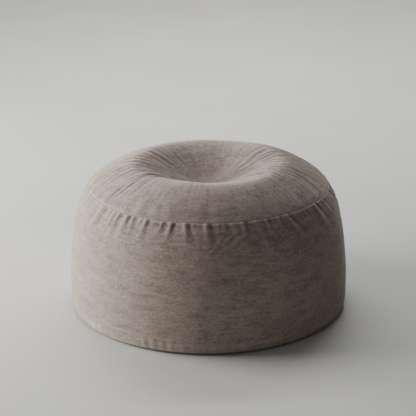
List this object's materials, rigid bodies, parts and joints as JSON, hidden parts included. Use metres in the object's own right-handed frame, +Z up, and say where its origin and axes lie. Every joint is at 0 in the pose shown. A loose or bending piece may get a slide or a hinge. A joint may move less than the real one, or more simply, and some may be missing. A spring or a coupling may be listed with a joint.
{
  "type": "floor cushion",
  "caption": "Large round floor cushion with a dished seat, a zipped brushed-fabric cover over a zipped lining bag full of foam beads.",
  "frame": {"origin": "middle of the flat underside, on the floor", "axes": "+Z up through the middle of the seat; -Y is the front and the cover zip is at the back, +Y; +X is to the right seen from the front"},
  "size_m": [0.9058, 0.9059, 0.479],
  "materials": {
    "cover_fabric": "brushed velour with a short mottled nap, mushroom taupe",
    "base_fabric": "plain hard-wearing weave, dark taupe",
    "seam_thread": "twisted polyester thread, taupe",
    "zip_tape": "narrow woven tape, dark taupe",
    "zip_coil": "moulded nylon coil, dark taupe",
    "zip_metal": "satin gunmetal plating",
    "care_label": "blank satin ribbon, off white",
    "lining_fabric": "plain calico weave, natural white",
    "lining_thread": "polyester thread, natural white",
    "lining_tape": "narrow woven tape, natural white",
    "lining_coil": "moulded nylon coil, natural white",
    "foam_beads": "loose expanded foam beads, settled"
  },
  "bodies": {
    "cushion": {"cover_top_panel": "cover_fabric", "cover_front_band": "cover_fabric", "cover_back_band_upper": "cover_fabric", "cover_back_band_lower": "cover_fabric", "cover_base_panel": "base_fabric", "side_seam_edges_left": "cover_fabric", "side_seam_edges_right": "cover_fabric", "top_seam_thread": "seam_thread", "base_seam_thread": "seam_thread", "side_seam_thread_left": "seam_thread", "side_seam_thread_right": "seam_thread", "zip_tape_upper": "zip_tape", "zip_tape_lower": "zip_tape", "zip_coil_upper": "zip_coil", "zip_coil_lower": "zip_coil", "zip_start_stop": "zip_metal", "zip_end_stop": "zip_metal", "care_label": "care_label", "lining_top_panel": "lining_fabric", "lining_side_wall": "lining_fabric", "lining_base_panel": "lining_fabric", "lining_top_thread": "lining_thread", "lining_base_thread": "lining_thread", "lining_zip_tape_upper": "lining_tape", "lining_zip_tape_lower": "lining_tape", "lining_zip_coil_upper": "lining_coil", "lining_zip_coil_lower": "lining_coil", "lining_zip_start_stop": "zip_metal", "lining_zip_end_stop": "zip_metal", "bead_fill": "foam_beads"},
    "zip_slider": {"zip_slider": "zip_metal"},
    "zip_pull": {"zip_pull": "zip_metal"},
    "lining_zip_slider": {"lining_zip_slider": "zip_metal"}
  },
  "joints": [
    {"name": "zip_run", "type": "hinge", "parent": "cushion", "child": "zip_slider", "pos_m": [0, 0, 0.068], "axis": [0, 0, 1], "range_deg": [0, 110]},
    {"name": "pull_turn", "type": "hinge", "parent": "zip_slider", "child": "zip_pull", "pos_m": [0.3752, 0.25473, 0.068], "axis": [0, 0, -1], "range_deg": [0, 175]},
    {"name": "lining_zip_run", "type": "hinge", "parent": "cushion", "child": "lining_zip_slider", "pos_m": [0, 0, 0.068], "axis": [0, 0, 1], "range_deg": [0, 72]}
  ]
}
